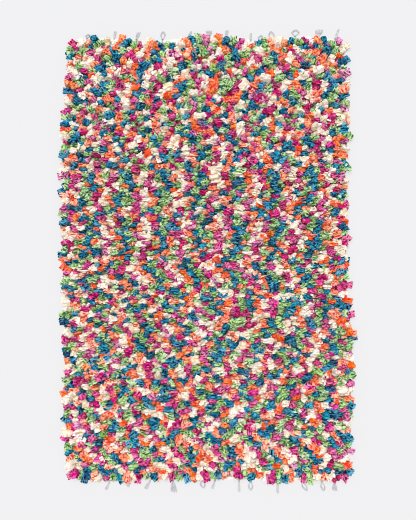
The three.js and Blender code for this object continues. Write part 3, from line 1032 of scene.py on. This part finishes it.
def wrap_knot(x, y, chance):
    """Two turns of yarn round the warp ends where they are knotted."""
    wraps = []
    for tilt in WRAP["tilts"]:
        bpy.ops.object.select_all(action="DESELECT")
        bpy.ops.mesh.primitive_torus_add(
            major_radius=WRAP["round"], minor_radius=WRAP["thick"],
            major_segments=WRAP["faces"][0], minor_segments=WRAP["faces"][1],
            location=(x, y, WRAP["level"]),
            rotation=(math.pi / 2, tilt, chance.uniform(-WRAP["turn"], WRAP["turn"])),
        )
        bpy.ops.object.transform_apply(location=True, rotation=True, scale=True)
        wraps.append(bpy.context.object)
    return wraps


def make_warp_ends(name, ends, facing):
    """All the yarns that come out of one heading, with the turns round their knots."""
    chance = random.Random(SEED + len(name))
    curve = bpy.data.curves.new(name, "CURVE")
    curve.dimensions = "3D"
    curve.bevel_depth, curve.bevel_resolution, curve.use_fill_caps = YARN["ply"], 0, True
    knots = []
    for end in ends:
        x, y = heading_place(end["at"], facing)
        brink = y + facing * HEADING["brink"] * MM
        past = facing * (brink - PILE_MM["middle_y"] * MM) / MM - PILE_MM["length"] / 2
        form = {"tails": tails, "loop": loop}[end["form"]]
        for route in form(end, end["reach"] - past):
            laid = [Vector((x + p.x * MM, brink + facing * p.y * MM, 0)) for p in route]
            twist_yarn(curve, laid, chance)
        knots.append((x + end["lean"] * ROOT["knot_lean"] * MM, brink + facing * HEADING["knot"] * MM))
    yarns = bpy.data.objects.new(name, curve)
    bpy.context.scene.collection.objects.link(yarns)
    select_only(yarns)
    bpy.ops.object.convert(target="MESH")
    yarns = bpy.context.object
    wraps = [wrap for x, y in knots for wrap in wrap_knot(x, y, chance)]
    select_only(yarns)
    for wrap in wraps:
        wrap.select_set(True)
    bpy.ops.object.join()
    yarns.data.shade_smooth()
    yarns.data.materials.clear()
    yarns.data.materials.append(white_cotton(f"{name}_cotton", **WHITES["warp_ends"]))
    return yarns


# The floor, the lights and the camera.


def make_floor():
    bpy.ops.object.select_all(action="DESELECT")
    bpy.ops.mesh.primitive_plane_add(size=FLOOR["size"], location=(0, 0, FLOOR["level"]))
    floor = bpy.context.object
    floor.name = "floor"
    finish = Finish("pale_floor", roughness=0.9, sheen=0.0)
    finish.shader.inputs["Base Color"].default_value = (FLOOR["grey"], FLOOR["grey"], FLOOR["grey"], 1)
    finish.shader.inputs["Specular IOR Level"].default_value = 0
    finish.shader.inputs["Emission Color"].default_value = FLOOR["glow"]
    finish.shader.inputs["Emission Strength"].default_value = FLOOR["glow_strength"]
    floor.data.materials.append(finish.material)


def make_lights():
    world = bpy.data.worlds.new("studio")
    bpy.context.scene.world = world
    world.use_nodes = True
    world.node_tree.nodes["Background"].inputs["Color"].default_value = (1, 1, 1, 1)
    world.node_tree.nodes["Background"].inputs["Strength"].default_value = LIGHT["sky"]
    bpy.ops.object.light_add(type="SUN", location=LIGHT["place"])
    lamp = bpy.context.object
    lamp.data.angle = LIGHT["softness"]
    lamp.data.energy = LIGHT["sun"]
    lamp.rotation_euler = LIGHT["turn"]


def make_camera():
    """Straight above the rug, at the height where the picture's long side spans CAMERA's span."""
    data = bpy.data.cameras.new("camera")
    data.lens, data.sensor_width = CAMERA["lens"], CAMERA["sensor"]
    camera = bpy.data.objects.new("camera", data)
    height = CAMERA["level"] + CAMERA["span"] * CAMERA["lens"] / CAMERA["sensor"]
    camera.location = (CAMERA["x"], CAMERA["y"], height)
    bpy.context.scene.collection.objects.link(camera)
    bpy.context.scene.camera = camera


def fit(piece, node):
    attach(piece, "root")
    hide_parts(node)


chance = random.Random(SEED + 1)
patterns = make_patterns()
knots = field_knots(chance) + rim_knots(chance)
knots += gap_knots(knots, chance)
for dye, colours in DYES.items():
    of_dye = [knot for knot in knots if knot["dye"] == dye]
    piece = plant_rags(f"rags_{dye}", plan_rags(of_dye, patterns, chance))
    piece.data.materials.append(dyed_cotton(f"{dye}_rag_cotton", colours))
    fit(piece, "rag_pile")
ground, ground_size = make_ground()
fit(ground, "rag_pile")
for end, ends, facing in (("head", HEAD_ENDS, 1), ("foot", FOOT_ENDS, -1)):
    for piece in (make_heading(f"{end}_heading", facing), make_warp_ends(f"{end}_warp_ends", ends, facing)):
        fit(piece, f"{end}_fringe")
make_floor()
make_lights()
make_camera()
bpy.context.scene.view_settings.view_transform = "Standard"
bpy.context.scene.cycles.filter_width = PIXEL_BLUR
